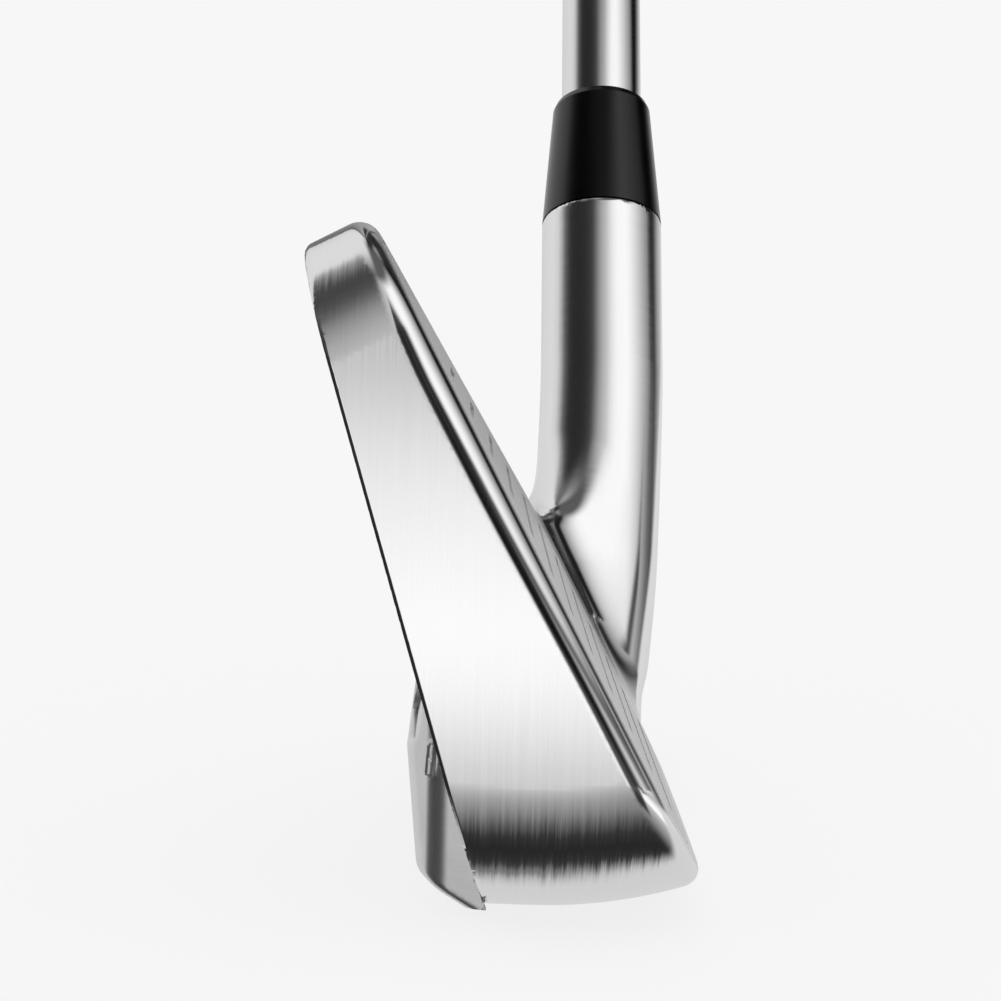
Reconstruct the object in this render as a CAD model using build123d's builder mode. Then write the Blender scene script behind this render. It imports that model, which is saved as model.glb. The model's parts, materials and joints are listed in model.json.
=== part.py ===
"""Iron golf club: hollow-body head, ferrule, stepped steel shaft and rubber grip, at address.

Millimetres. +X is the target direction, +Y runs from the toe to the heel, +Z is up.
The origin is the point under the face centre where the sole rests on the ground.
"""
from build123d import *
from math import cos, pi, radians, sin, tan
import os

os.makedirs("parts", exist_ok=True)

# ---- driving dimensions ------------------------------------------------------------------
LOFT = 28.0                 # face leans back from vertical, degrees
LIE = 62.75                 # shaft axis above the ground, degrees
FACE_X = 16.1               # where the face plane would meet the ground
SHAFT_X = 9.0               # shaft axis meets the ground at (SHAFT_X, SHAFT_Y)
SHAFT_Y = 30.0
TOE_Y = -35.3               # extreme of the toe
PEAK_V = 63.72              # toe peak, measured up the face plane
TOP_FALL = 0.59             # topline falls this much per mm towards the heel
TOE_CORNER = 9.8            # radius of the toe peak
LOW_TOE_CORNER = 11.0       # radius of the toe's lower corner
TOP_THICK = 4.4             # blade thickness along the topline
BACK_SLOPE = 0.203          # thickness gained per mm below the topline
BACK_LEVEL_Y = -24.3        # towards the heel from here the back follows the topline down
LEADING_RADIUS = 2.0        # leading edge
BLADE_END = 31.0            # the plain blade ends here, and the heel starts just before it

HOSEL_OD = 13.5
HOSEL_START = 35.0          # up the shaft axis from the ground
HOSEL_TOP = 64.7
HOSEL_CHAMFER = 0.4
BORE_D = 9.35
BORE_DEPTH = 32.0

CROTCH_Y = 30.0             # centre of the bend between topline and hosel
CROTCH_Z = 40.5
CROTCH_RADIUS = 11.9
# part of the bend turned, and depth of the section there, from the hosel to the blade
HEEL_SECTIONS = [(1.0, 13.5), (0.74, 14.6), (0.52, 17.4), (0.34, 21.8), (0.16, 27.0), (0.0, 27.4)]
SECTION_POINTS = 20

FACE_THICK = 1.9
FACE_MARGIN = 2.6           # steel left round the face plate
LEDGE = 1.6                 # seat that carries the edge of the face plate
PLATE_HEEL_Y = 18.0
PLATE_BOTTOM_V = 7.0
GROOVE_W = 0.7
GROOVE_DEPTH = 0.28
GROOVE_PITCH = 3.6
GROOVE_COUNT = 12
GROOVE_TOE_Y = -24.0
GROOVE_HEEL_Y = 15.5
GROOVE_FIRST_V = 9.8
GROOVE_TOP_GAP = 9.0        # from the topline down to the end of a short groove

CORE_W = 4.2                # depth of the upper pocket behind the face
POCKET_W = 9.6              # depth of the lower pocket
POCKET_V = (10.5, 22.5)
POCKET_Y = (-24.0, 16.0)
WEIGHT_LENGTH = 12.0
WEIGHT_HEIGHT = 7.0

# back of the head, seen from the toe: ledge, muscle, trailing edge
MUSCLE = [(2.0, 24.6), (-8.4, 23.6), (-10.2, 13.2), (-9.2, 3.4), (-3.9, 0.6), (2.0, 0.6)]
MUSCLE_Y = (-28.2, 27.5)
# each end of the muscle is cut back between two points of its plan
TOE_BEVEL = [(-7.7, -28.2), (-10.6, -22.4)]
HEEL_BEVEL = [(-10.6, 18.0), (-2.0, 27.5)]
PLATE_THICK = 1.8
FILM = 0.3                  # adhesive under the muscle plate
BADGE_SIZE = (30.0, 5.4)    # inlay let into the sloping top of the muscle
BADGE_Y = 2.0
BADGE_Z = 16.9
BADGE_THICK = 0.8
BADGE_CORNER = 2.0

FERRULE_LENGTH = 15.4
FERRULE_TOP_OD = 11.2
FERRULE_ROUND = 1.0

TIP_D = 9.15
BUTT_D = 15.24
WALL = 0.5
STEP_COUNT = 15
FIRST_STEP = 215.0          # up the axis from the ground
STEP_PITCH = 29.5
STEP_LENGTH = 3.0
CLUB_LENGTH = 952.5         # 37.5 in, measured up the axis
CAP_THICK = 3.5

GRIP_LENGTH = 266.0
GRIP_MOUTH_OD = 18.2
GRIP_MOUTH_LAND = 6.0
GRIP_BUTT_OD = 26.4
GRIP_TAPE_THICK = 0.2
CAP_OD = 27.6
VENT_D = 3.2
BAND_START = 602.5
BAND_LENGTH = 22.0
BAND_THICK = 0.1

# ---- frames --------------------------------------------------------------------------------
loft_angle = radians(LOFT)
lie_angle = radians(LIE)
shaft_dir = Vector(0, cos(lie_angle), sin(lie_angle))
face_normal = Vector(cos(loft_angle), 0, sin(loft_angle))
shaft_foot = Vector(SHAFT_X, SHAFT_Y, 0)
shaft_axis = Axis(shaft_foot, shaft_dir)

# x runs toe to heel, y runs up the face, z points out of the face
face_plane = Plane(origin=(FACE_X, 0, 0), x_dir=(0, 1, 0), z_dir=face_normal)
# radius across, distance up the shaft axis: the plane of every turned piece
turning_plane = Plane(origin=shaft_foot, x_dir=(1, 0, 0), z_dir=Vector(1, 0, 0).cross(shaft_dir))


def up_shaft(distance):
    """Plane square to the shaft axis, this far up it from the ground."""
    return Plane(origin=shaft_foot + shaft_dir * distance, x_dir=(1, 0, 0), z_dir=shaft_dir)


def turned(outline):
    """Revolve a closed outline of (radius, distance up the axis) round the shaft axis."""
    with BuildPart() as piece:
        with BuildSketch(turning_plane):
            with BuildLine():
                Polyline(*outline, close=True)
            make_face()
        revolve(axis=shaft_axis)
    return piece


def finish(piece, label):
    """Name a finished piece and write it."""
    piece.part.label = label
    export_step(piece.part, f"parts/{label}.step")


# ---- blade ---------------------------------------------------------------------------------
corner_v = PEAK_V + 0.751 * TOE_CORNER     # where the toe wall and the topline would cross


def topline_v(y):
    """Height of the topline in the face plane."""
    return corner_v - TOP_FALL * (y - TOE_Y)


def back_plane(fall, proud):
    """Plane of the blade's back, facing away from the face, dropping by fall towards the heel."""
    depth = TOP_THICK + BACK_SLOPE * (corner_v + fall * BACK_LEVEL_Y) + proud
    normal = Vector(BACK_SLOPE * fall, BACK_SLOPE, -1).normalized()
    return Plane(
        origin=face_plane.from_local_coords(Vector(0, 0, -depth)),
        x_dir=(0, 1, 0),
        z_dir=face_plane.from_local_coords(normal) - face_plane.origin,
    )


def face_side(proud):
    """Everything between the face and the back, which is level at the toe and then falls."""
    with BuildPart() as block:
        with BuildSketch(face_plane):
            Rectangle(220, 220)
        extrude(amount=-60)
        split(bisect_by=back_plane(0, proud), keep=Keep.BOTTOM)
        split(bisect_by=back_plane(TOP_FALL, proud), keep=Keep.BOTTOM)
    return block


# seen from the target: toe wall, lower toe corner and cambered sole
with BuildPart() as front_view:
    with BuildSketch(Plane.YZ):
        with BuildLine():
            toe_wall = Line((TOE_Y, 80), (TOE_Y, LOW_TOE_CORNER + 1.6))
            toe_corner = TangentArc(toe_wall @ 1, (TOE_Y + 12, 0.75), tangent=toe_wall % 1)
            sole_line = ThreePointArc(toe_corner @ 1, (0, 0), (BLADE_END, 1.15))
            Polyline(sole_line @ 1, (BLADE_END, 80), toe_wall @ 0)
        make_face()
    extrude(amount=60, both=True)

with BuildPart() as blade:
    # section across the blade: face, leading edge and sole
    with BuildSketch(Plane.XZ):
        with BuildLine():
            Polyline(
                (FACE_X - 80 * tan(loft_angle), 80),
                (FACE_X - 1.6 * tan(loft_angle), 1.6),
                (0, 0),
                (-12, 1.0),
                (-70, 80),
                close=True,
            )
        make_face()
        fillet(vertices().sort_by(Axis.X)[-1], radius=LEADING_RADIUS)
    extrude(amount=100, both=True)
    add(front_view, mode=Mode.INTERSECT)
    # seen square to the face: toe wall, toe peak and topline
    with BuildSketch(face_plane):
        with BuildLine():
            Polyline(
                (TOE_Y, -40),
                (TOE_Y, corner_v),
                (BLADE_END + 20, topline_v(BLADE_END + 20)),
                (BLADE_END + 20, -40),
                close=True,
            )
        make_face()
        fillet(vertices().sort_by(Axis.Y)[-1], radius=TOE_CORNER)
    extrude(amount=60, both=True, mode=Mode.INTERSECT)
    add(face_side(0), mode=Mode.INTERSECT)


# ---- heel: the blade's section turns into the hosel's circle round the crotch --------------
def heel_plane(turned_part):
    """Plane through the centre of the crotch bend: x is global X, y points away from it."""
    angle = lie_angle * turned_part
    return Plane(
        origin=(0, CROTCH_Y, CROTCH_Z), x_dir=(1, 0, 0), z_dir=(0, cos(angle), sin(angle))
    )


def heel_points(turned_part, size):
    """Closed ring of points on a heel plane, between the blade's section and a circle."""
    blend = turned_part * turned_part * (3 - 2 * turned_part)
    ring = []
    for index in range(SECTION_POINTS):
        around = 2 * pi * index / SECTION_POINTS
        along = 0.5 - 0.5 * cos(around)
        height = CROTCH_Z - CROTCH_RADIUS - size * along * (1 - 0.45 * turned_part)
        front = FACE_X - 0.3 - height * tan(loft_angle)
        thickness = 5.6 + 8.5 * along
        middle = front - thickness / 2
        side = abs(sin(around)) ** 0.5
        wedge_x = middle + (thickness / 2) * (side if around < pi else -side)
        round_x = SHAFT_X + HOSEL_OD / 2 * sin(around)
        ring.append((wedge_x + (round_x - wedge_x) * blend, CROTCH_RADIUS + size * along))
    return ring


with BuildPart() as heel:
    for turned_part, size in HEEL_SECTIONS:
        with BuildSketch(heel_plane(turned_part)):
            with BuildLine():
                Spline(*heel_points(turned_part, size), periodic=True)
            make_face()
    loft()


# ---- muscle: the thick lower back, a block of the body under a bonded plate ------------------
def end_view_block(outline, wall):
    """Block from an outline seen from the toe, bevelled back at both ends and cut to the sole."""
    with BuildPart() as block:
        with BuildSketch(Plane.XZ):
            with BuildLine():
                Polyline(*outline, close=True)
            make_face()
        extrude(amount=100, both=True)
        with BuildSketch(Plane.XY):
            with BuildLine():
                Polyline(
                    (20, MUSCLE_Y[0]),
                    *[(x + wall, y) for x, y in TOE_BEVEL + HEEL_BEVEL],
                    (20, MUSCLE_Y[1]),
                    close=True,
                )
            make_face()
        extrude(amount=100, both=True, mode=Mode.INTERSECT)
        add(front_view, mode=Mode.INTERSECT)
    return block


def inside(outline, wall):
    """The same outline moved in by a wall thickness on its rear and upper sides."""
    (x0, z0), (x1, z1), (x2, z2), (x3, z3), (x4, z4), (x5, z5) = outline
    return [
        (x0, z0 - wall),
        (x1 + wall, z1 - wall),
        (x2 + wall, z2),
        (x3 + wall, z3 + 0.4 * wall),
        (x4 + 0.9 * wall, z4 + 0.5 * wall),
        (x5, z5 + 0.5 * wall),
    ]


muscle_outer = end_view_block(MUSCLE, 0)
muscle_film = end_view_block(inside(MUSCLE, PLATE_THICK), PLATE_THICK)
muscle_inner = end_view_block(inside(MUSCLE, PLATE_THICK + FILM), PLATE_THICK + FILM)

# ---- face plate, impact core and weights -----------------------------------------------------
def plate_outline(inset):
    """Sketch the face plate's outline in the face plane, moved in from the blade's edge."""
    toe_y = TOE_Y + inset
    top_y = PLATE_HEEL_Y - inset + FACE_MARGIN
    drop = inset * (1 + TOP_FALL**2) ** 0.5
    bottom_v = PLATE_BOTTOM_V + inset - FACE_MARGIN
    with BuildSketch(face_plane) as outline:
        with BuildLine():
            Polyline(
                (toe_y, bottom_v),
                (toe_y, topline_v(toe_y) - drop),
                (top_y, topline_v(top_y) - drop),
                (top_y, bottom_v),
                close=True,
            )
        make_face()
        fillet(vertices().sort_by(Axis.Y)[-1], radius=TOE_CORNER - inset)
        fillet(vertices().group_by(Axis.X)[0].sort_by(Axis.Y)[0], radius=LOW_TOE_CORNER - inset)
        fillet(vertices().group_by(Axis.X)[-1], radius=1.5)
    return outline.sketch


with BuildPart() as plate_blank:
    extrude(plate_outline(FACE_MARGIN), amount=-FACE_THICK)

with BuildPart() as face_plate:
    add(plate_blank)
    for row in range(GROOVE_COUNT):
        v = GROOVE_FIRST_V + row * GROOVE_PITCH
        # a groove stops short of the topline and of the rounded toe
        room = (corner_v - v - GROOVE_TOP_GAP) / TOP_FALL + TOE_Y
        heel_y = min(GROOVE_HEEL_Y, room)
        with BuildSketch(face_plane):
            with Locations(((GROOVE_TOE_Y + heel_y) / 2, v)):
                SlotOverall(heel_y - GROOVE_TOE_Y, GROOVE_W)
        extrude(amount=-GROOVE_DEPTH, mode=Mode.SUBTRACT)

with BuildPart() as pocket:
    extrude(plate_outline(FACE_MARGIN + LEDGE), amount=-CORE_W)
    with BuildSketch(face_plane.offset(-CORE_W)):
        with BuildLine():
            Polyline(
                (POCKET_Y[0], POCKET_V[0]),
                (POCKET_Y[1], POCKET_V[0]),
                (POCKET_Y[1], POCKET_V[1]),
                (POCKET_Y[0], POCKET_V[1]),
                close=True,
            )
        make_face()
    extrude(amount=CORE_W - POCKET_W)


def weight(start_y):
    """Tungsten block in the bottom of the lower pocket."""
    with BuildPart() as block:
        with BuildSketch(face_plane.offset(-CORE_W)):
            with Locations((start_y + WEIGHT_LENGTH / 2, POCKET_V[0] + WEIGHT_HEIGHT / 2)):
                Rectangle(WEIGHT_LENGTH, WEIGHT_HEIGHT)
        extrude(amount=CORE_W - POCKET_W)
    return block


toe_weight = weight(POCKET_Y[0])
heel_weight = weight(POCKET_Y[1] - WEIGHT_LENGTH)

with BuildPart() as impact_core:
    add(pocket)
    add(plate_blank, mode=Mode.SUBTRACT)
    add(toe_weight, mode=Mode.SUBTRACT)
    add(heel_weight, mode=Mode.SUBTRACT)

# ---- head body -------------------------------------------------------------------------------
bore_bottom = HOSEL_TOP - BORE_DEPTH

with BuildPart() as head_body:
    add(blade)
    add(muscle_inner)
    add(heel)
    with BuildSketch(up_shaft(HOSEL_START)):
        Circle(HOSEL_OD / 2)
    extrude(amount=HOSEL_TOP - HOSEL_START)
    chamfer(edges().group_by(Axis.Z)[-1], length=HOSEL_CHAMFER)
    with BuildSketch(up_shaft(bore_bottom)):
        Circle(BORE_D / 2)
    extrude(amount=BORE_DEPTH, mode=Mode.SUBTRACT)
    add(plate_blank, mode=Mode.SUBTRACT)
    add(pocket, mode=Mode.SUBTRACT)

# the badge lies flush in the slope between the ledge and the widest point of the muscle
(ledge_x, ledge_z), (wide_x, wide_z) = MUSCLE[1:3]
badge_x = wide_x + (ledge_x - wide_x) * (BADGE_Z - wide_z) / (ledge_z - wide_z)
badge_plane = Plane(
    origin=(badge_x, BADGE_Y, BADGE_Z),
    x_dir=(0, -1, 0),
    z_dir=(wide_z - ledge_z, 0, ledge_x - wide_x),
)

with BuildPart() as back_badge:
    with BuildSketch(badge_plane):
        RectangleRounded(*BADGE_SIZE, radius=BADGE_CORNER)
    extrude(amount=-BADGE_THICK)

with BuildPart() as muscle_plate:
    add(muscle_outer)
    add(muscle_film, mode=Mode.SUBTRACT)
    add(face_side(FILM), mode=Mode.SUBTRACT)
    add(heel, mode=Mode.SUBTRACT)
    add(back_badge, mode=Mode.SUBTRACT)

with BuildPart() as plate_adhesive:
    add(muscle_film)
    add(muscle_inner, mode=Mode.SUBTRACT)
    add(face_side(FILM), mode=Mode.SUBTRACT)
    add(heel, mode=Mode.SUBTRACT)

# ---- ferrule, epoxy and shaft ----------------------------------------------------------------
ferrule_top = HOSEL_TOP + FERRULE_LENGTH

ferrule = turned([
    (TIP_D / 2, HOSEL_TOP),
    (HOSEL_OD / 2, HOSEL_TOP),
    (FERRULE_TOP_OD / 2, ferrule_top - FERRULE_ROUND),
    (FERRULE_TOP_OD / 2 - 0.3 * FERRULE_ROUND, ferrule_top - 0.3 * FERRULE_ROUND),
    (FERRULE_TOP_OD / 2 - FERRULE_ROUND, ferrule_top),
    (TIP_D / 2, ferrule_top),
])

hosel_epoxy = turned([
    (TIP_D / 2, bore_bottom),
    (BORE_D / 2, bore_bottom),
    (BORE_D / 2, HOSEL_TOP),
    (TIP_D / 2, HOSEL_TOP),
])

butt_end = CLUB_LENGTH - CAP_THICK
step_gain = (BUTT_D - TIP_D) / 2 / STEP_COUNT

shaft_wall = [(TIP_D / 2, bore_bottom)]
for step in range(STEP_COUNT):
    at = FIRST_STEP + step * STEP_PITCH
    radius = TIP_D / 2 + step * step_gain
    shaft_wall.append((radius, at))
    shaft_wall.append((radius + step_gain, at + STEP_LENGTH))
shaft_wall.append((BUTT_D / 2, butt_end))
shaft_bore = [(radius - WALL, at) for radius, at in reversed(shaft_wall)]
shaft = turned(shaft_wall + shaft_bore)

# the band sits on the plain stretch between two steps
band_radius = TIP_D / 2 + (STEP_COUNT - 1) * step_gain
shaft_band = turned([
    (band_radius, BAND_START),
    (band_radius + BAND_THICK, BAND_START),
    (band_radius + BAND_THICK, BAND_START + BAND_LENGTH),
    (band_radius, BAND_START + BAND_LENGTH),
])

# ---- grip ------------------------------------------------------------------------------------
grip_start = CLUB_LENGTH - GRIP_LENGTH
tape_start = grip_start + GRIP_MOUTH_LAND
tape_radius = BUTT_D / 2 + GRIP_TAPE_THICK

grip_tape = turned([
    (BUTT_D / 2, tape_start),
    (tape_radius, tape_start),
    (tape_radius, butt_end),
    (BUTT_D / 2, butt_end),
])

grip = turned([
    (BUTT_D / 2, grip_start),
    (GRIP_MOUTH_OD / 2 - 0.8, grip_start),
    (GRIP_MOUTH_OD / 2, grip_start + 1.0),
    (GRIP_BUTT_OD / 2, butt_end),
    (tape_radius, butt_end),
    (tape_radius, tape_start),
    (BUTT_D / 2, tape_start),
])

grip_cap = turned([
    (VENT_D / 2, butt_end),
    (CAP_OD / 2 - 0.4, butt_end),
    (CAP_OD / 2, butt_end + 0.8),
    (CAP_OD / 2 - 0.5, butt_end + 1.9),
    (CAP_OD / 2 - 2.4, butt_end + 2.9),
    (CAP_OD / 2 - 6.0, CLUB_LENGTH),
    (VENT_D / 2, CLUB_LENGTH),
])

finish(head_body, "head_body")
finish(face_plate, "face_plate")
finish(impact_core, "impact_core")
finish(toe_weight, "toe_weight")
finish(heel_weight, "heel_weight")
finish(muscle_plate, "muscle_plate")
finish(plate_adhesive, "plate_adhesive")
finish(back_badge, "back_badge")
finish(ferrule, "ferrule")
finish(hosel_epoxy, "hosel_epoxy")
finish(shaft, "shaft")
finish(shaft_band, "shaft_band")
finish(grip_tape, "grip_tape")
finish(grip, "grip")
finish(grip_cap, "grip_cap")
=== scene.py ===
"""Looks of the iron golf club: polished and brushed steel head, black ferrule, chrome shaft, rubber grip.

Lengths in this script are millimetres in the frame's own axes; meshes are made in metres.
"""
import json
from math import cos, degrees, radians, sin, sqrt

import bpy
import numpy as np
from mathutils import Matrix, Vector


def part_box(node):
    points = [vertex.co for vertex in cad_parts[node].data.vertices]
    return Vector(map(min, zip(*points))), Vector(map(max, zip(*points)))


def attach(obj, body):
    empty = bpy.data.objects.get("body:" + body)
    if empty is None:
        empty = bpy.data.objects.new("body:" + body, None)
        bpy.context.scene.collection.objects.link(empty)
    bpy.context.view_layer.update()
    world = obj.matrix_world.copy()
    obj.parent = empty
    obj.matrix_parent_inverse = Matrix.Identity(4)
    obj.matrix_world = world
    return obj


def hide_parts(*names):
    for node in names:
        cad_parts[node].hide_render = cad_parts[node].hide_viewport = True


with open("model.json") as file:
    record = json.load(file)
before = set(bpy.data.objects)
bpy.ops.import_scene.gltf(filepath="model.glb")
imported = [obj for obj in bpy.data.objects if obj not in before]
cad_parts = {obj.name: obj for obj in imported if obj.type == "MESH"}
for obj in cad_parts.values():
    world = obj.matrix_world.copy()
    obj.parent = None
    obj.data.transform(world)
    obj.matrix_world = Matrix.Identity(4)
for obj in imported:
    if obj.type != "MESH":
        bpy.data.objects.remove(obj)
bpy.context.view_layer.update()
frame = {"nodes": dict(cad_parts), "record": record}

MM = 0.001

# ---- the frame's own facts -----------------------------------------------------------------
mounts = {mount["name"]: mount for mount in frame["record"]["mounts"]}


def mount_point(name):
    """Where a mount of the record is, in millimetres."""
    return np.array(mounts[name]["pos_m"]) / MM


FACE_NORMAL = np.array(mounts["striking_face"]["axis"])
FACE_UP = np.array([-FACE_NORMAL[2], 0.0, FACE_NORMAL[0]])
face_point = mount_point("striking_face")
FACE_FOOT = face_point - FACE_UP * face_point[2] / FACE_UP[2]      # where the face plane meets the ground

SHAFT_DIR = np.array(mounts["butt_vent_hole"]["axis"])
butt_point = mount_point("butt_vent_hole")
SHAFT_FOOT = butt_point - SHAFT_DIR * butt_point[2] / SHAFT_DIR[2]
ACROSS = np.array([0.0, SHAFT_DIR[2], -SHAFT_DIR[1]])              # square to the shaft, towards the heel


def vertices_of(node):
    """Vertices of a CAD node, in millimetres."""
    return np.array([vertex.co for vertex in frame["nodes"][node].data.vertices]) / MM


def reach(node):
    """Lowest and highest distance of a CAD node along the shaft axis."""
    along = (vertices_of(node) - SHAFT_FOOT) @ SHAFT_DIR
    return along.min(), along.max()


TOE_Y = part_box("head_body")[0].y / MM
HOSEL_TOP, FERRULE_TOP = reach("ferrule")

# ---- driving dimensions of the head: the CAD model's, or close to them where the visible edges are rounder
CORNER_V = 71.08            # where the toe wall and the topline would cross, up the face
TOP_FALL = 0.59             # topline falls this much per mm towards the heel
TOE_CORNER = 9.3            # radius of the toe peak
LOW_TOE_CORNER = 11.0       # radius of the toe's lower corner
TOE_BULGE = 800.0           # radius of the toe wall between them
TOE_BULGE_Z = 26.0          # height at which it stands furthest out
TOP_THICK = 4.4             # thickness of the blade where the toe wall and the topline would cross
BACK_SLOPE = 0.203          # the blade thickens this much per mm down the face
BACK_LEVEL_Y = TOE_Y + 11.0     # towards the heel from here the back follows the topline down
BACK_BEND = 30.0            # radius between the two parts of the back
BACK_BEND_COSINE = 0.9934   # between their outward normals
BLADE_END = 6.0             # how far the blade reaches past the shaft axis
BLADE_END_RADIUS = 5.5

HOSEL_R = 6.75
HOSEL_EDGE = 0.35           # radius of its top edge
BORE_R = 4.675
BORE_BOTTOM = HOSEL_TOP - 32.0
LEAN_HEIGHT = 46.0          # the column draws back below this, measured up the shaft
LEAN = 2.15                 # how far it has drawn back at the ground
LEAN_POWER = 1.3
HEEL_TUCK = 0.8             # the heel draws back this much more near the sole

SOLE_CAMBER = 420.0         # radius of the sole, toe to heel
SOLE_FRONT = 37.7           # radius of the sole, front to back, ahead of its lowest line
SOLE_REAR = 150.0           # the same, behind its lowest line
SOLE_X = 1.0                # lowest line of the sole
LEADING_RADIUS = 1.8        # between the sole and the face

ROLL_RADIUS = 2.3           # between the toe wall and the face
MID_ROLL_LESS = 0.4         # it is this much tighter below the middle
LOW_ROLL_MORE = 0.5         # and this much wider again at the lower corner
PEAK_ROLL_LESS = 0.5        # and this much tighter at the toe peak
PEAK_BACK_ROUND = 0.7       # between the top of the toe and the back
TOPLINE_BACK_ROUND = 1.4    # between the topline and the back
CROTCH_RADIUS = 14.0        # between the topline and the hosel
FACE_FILLET = 7.0           # between the face and the hosel
LOW_FACE_FILLET = 2.0       # the same, near the sole
HIGH_FACE_FILLET = 12.5     # the same, near the crotch
HEEL_RADIUS = 7.0           # between the heel and the sole
SKIRT_CLEAR = 6.0           # the leading edge's cut stands this far clear of the upper fillet

PLATE_MARGIN = 2.6          # from the toe wall and the topline to the face plate
PLATE_THICK = 1.9
PLATE_HEEL_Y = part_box("face_plate")[1].y / MM
PLATE_BOTTOM_V = 7.0
PLATE_CORNER = 1.5          # radius of the plate's corners on the heel side
SEAM = 0.04                 # gap round the plate


# ---- shape functions: negative inside, in millimetres ------------------------------------------
def ramp(value, low, high):
    """0 below low, 1 above high, smooth between them."""
    t = np.clip((value - low) / (high - low), 0, 1)
    return t * t * (3 - 2 * t)


def corner(a, b, radius, cosine=0.0):
    """Both a and b, with the edge between them rounded; cosine is between their outward normals."""
    a1 = a + radius
    b1 = b + radius
    square = 1 - cosine * cosine
    reach_a = a1 - b1 * cosine
    reach_b = b1 - a1 * cosine
    apex = np.sqrt(np.maximum(a1 * a1 + b1 * b1 - 2 * a1 * b1 * cosine, 0) / square)
    return np.where((reach_a > 0) & (reach_b > 0), apex, np.maximum(a1, b1)) - radius


def fillet(a, b, radius):
    """Either a or b, with the hollow edge between them filled to a radius."""
    return -corner(-a, -b, radius)


def face_frame(p):
    """Depth behind the face and height up it."""
    from_foot = p - FACE_FOOT
    return -(from_foot @ FACE_NORMAL), from_foot @ FACE_UP


def below_topline(y, v):
    """How far a point lies under the topline, measured up the face."""
    return CORNER_V - TOP_FALL * (y - TOE_Y) - v


def back_plane(y, v, depth):
    """Back of the blade: level with the toe peak at first, then following the topline down."""
    level = TOP_THICK + BACK_SLOPE * (CORNER_V - v)
    falling = TOP_THICK + BACK_SLOPE * (below_topline(y, v) + TOP_FALL * (BACK_LEVEL_Y - TOE_Y))
    tilt = sqrt(1 + BACK_SLOPE**2)
    return corner((depth - level) / tilt, (depth - falling) / tilt, BACK_BEND, BACK_BEND_COSINE)


def sole_surface(x, y, z):
    """Sole, cambered both ways."""
    forward = x - SOLE_X
    radius = np.where(forward > 0, SOLE_FRONT, SOLE_REAR)
    lowest = y * y / (2 * SOLE_CAMBER) + forward * forward / (2 * radius)
    return (lowest - z) / np.sqrt(1 + (y / SOLE_CAMBER) ** 2 + (forward / radius) ** 2)


def toe_wall(y, z):
    """Toe wall, slightly bulged."""
    return TOE_Y - y + (z - TOE_BULGE_Z) ** 2 / (2 * TOE_BULGE)


def outline(toe, y, v, inset, radius):
    """Toe wall and topline, seen square to the face."""
    slope = sqrt(1 + TOP_FALL**2)
    top = -below_topline(y, v) / slope
    return corner(toe + inset, top + inset, radius, -TOP_FALL / slope)


def plate_pocket(y, v, depth):
    """Seat of the face plate, open to the front."""
    toe = TOE_Y - y
    edge = outline(toe, y, v, PLATE_MARGIN, TOE_CORNER - PLATE_MARGIN)
    low_edge = corner(toe + PLATE_MARGIN, PLATE_BOTTOM_V - v, LOW_TOE_CORNER - PLATE_MARGIN)
    edge = np.maximum(edge, low_edge)
    edge = corner(edge, y - PLATE_HEEL_Y, PLATE_CORNER)
    edge = np.maximum(edge, corner(y - PLATE_HEEL_Y, PLATE_BOTTOM_V - v, PLATE_CORNER))
    return np.maximum(edge - SEAM, depth - PLATE_THICK - SEAM)


def blade_solid(y, z, depth, v, across):
    """Blade with its toe, topline, front roll and back."""
    under = below_topline(y, v)
    toe = toe_wall(y, z)
    roll = ROLL_RADIUS - MID_ROLL_LESS * ramp(-v, -42, -20) + LOW_ROLL_MORE * ramp(-v, -14, -5)
    roll = roll - PEAK_ROLL_LESS * ramp(v, 50, 60)
    blade = corner(outline(toe, y, v, 0, TOE_CORNER), -depth, roll)
    back_round = PEAK_BACK_ROUND * ramp(-under, -13, -7)
    back_round = back_round + TOPLINE_BACK_ROUND * ramp(y, -24, -10) * ramp(-under, -10, -4)
    blade = corner(blade, back_plane(y, v, depth), back_round)
    return corner(blade, across - BLADE_END, BLADE_END_RADIUS)


def column_solid(x, along, across):
    """Hosel and heel: a round column that draws back towards the sole."""
    lean = np.clip((LEAN_HEIGHT - along) / LEAN_HEIGHT, 0, 1) ** LEAN_POWER
    back_off = LEAN * lean + HEEL_TUCK * ramp(-along, -24, -2)
    return np.hypot(x - SHAFT_FOOT[0] + back_off, across) - HOSEL_R


def head_solid(p):
    """Whole head body, with its bore and the seat of the face plate."""
    x, y, z = p.T
    depth, v = face_frame(p)
    along = (p - SHAFT_FOOT) @ SHAFT_DIR
    across = (p - SHAFT_FOOT) @ ACROSS
    sole = sole_surface(x, y, z)
    column = column_solid(x, along, across)

    face_bend = LOW_FACE_FILLET + (FACE_FILLET - LOW_FACE_FILLET) * ramp(z, 12, 26)
    face_bend = face_bend + (HIGH_FACE_FILLET - FACE_FILLET) * ramp(z, 22, 36)
    bend = face_bend + (CROTCH_RADIUS - face_bend) * ramp(depth, -1.5, 6)
    body = fillet(blade_solid(y, z, depth, v, across), column, bend)
    body = corner(body, sole, HEEL_RADIUS * ramp(y, 8, 30))

    front = fillet(-depth, column, face_bend) - SKIRT_CLEAR * ramp(z, 16, 26)
    skirt = corner(corner(toe_wall(y, z), sole, LOW_TOE_CORNER), front, LEADING_RADIUS)
    body = np.maximum(body, skirt)

    body = corner(body, along - HOSEL_TOP, HOSEL_EDGE)
    bore = np.maximum(np.hypot(x - SHAFT_FOOT[0], across) - BORE_R, BORE_BOTTOM - along)
    body = np.maximum(body, -bore)
    return np.maximum(body, -plate_pocket(y, v, depth))


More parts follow.
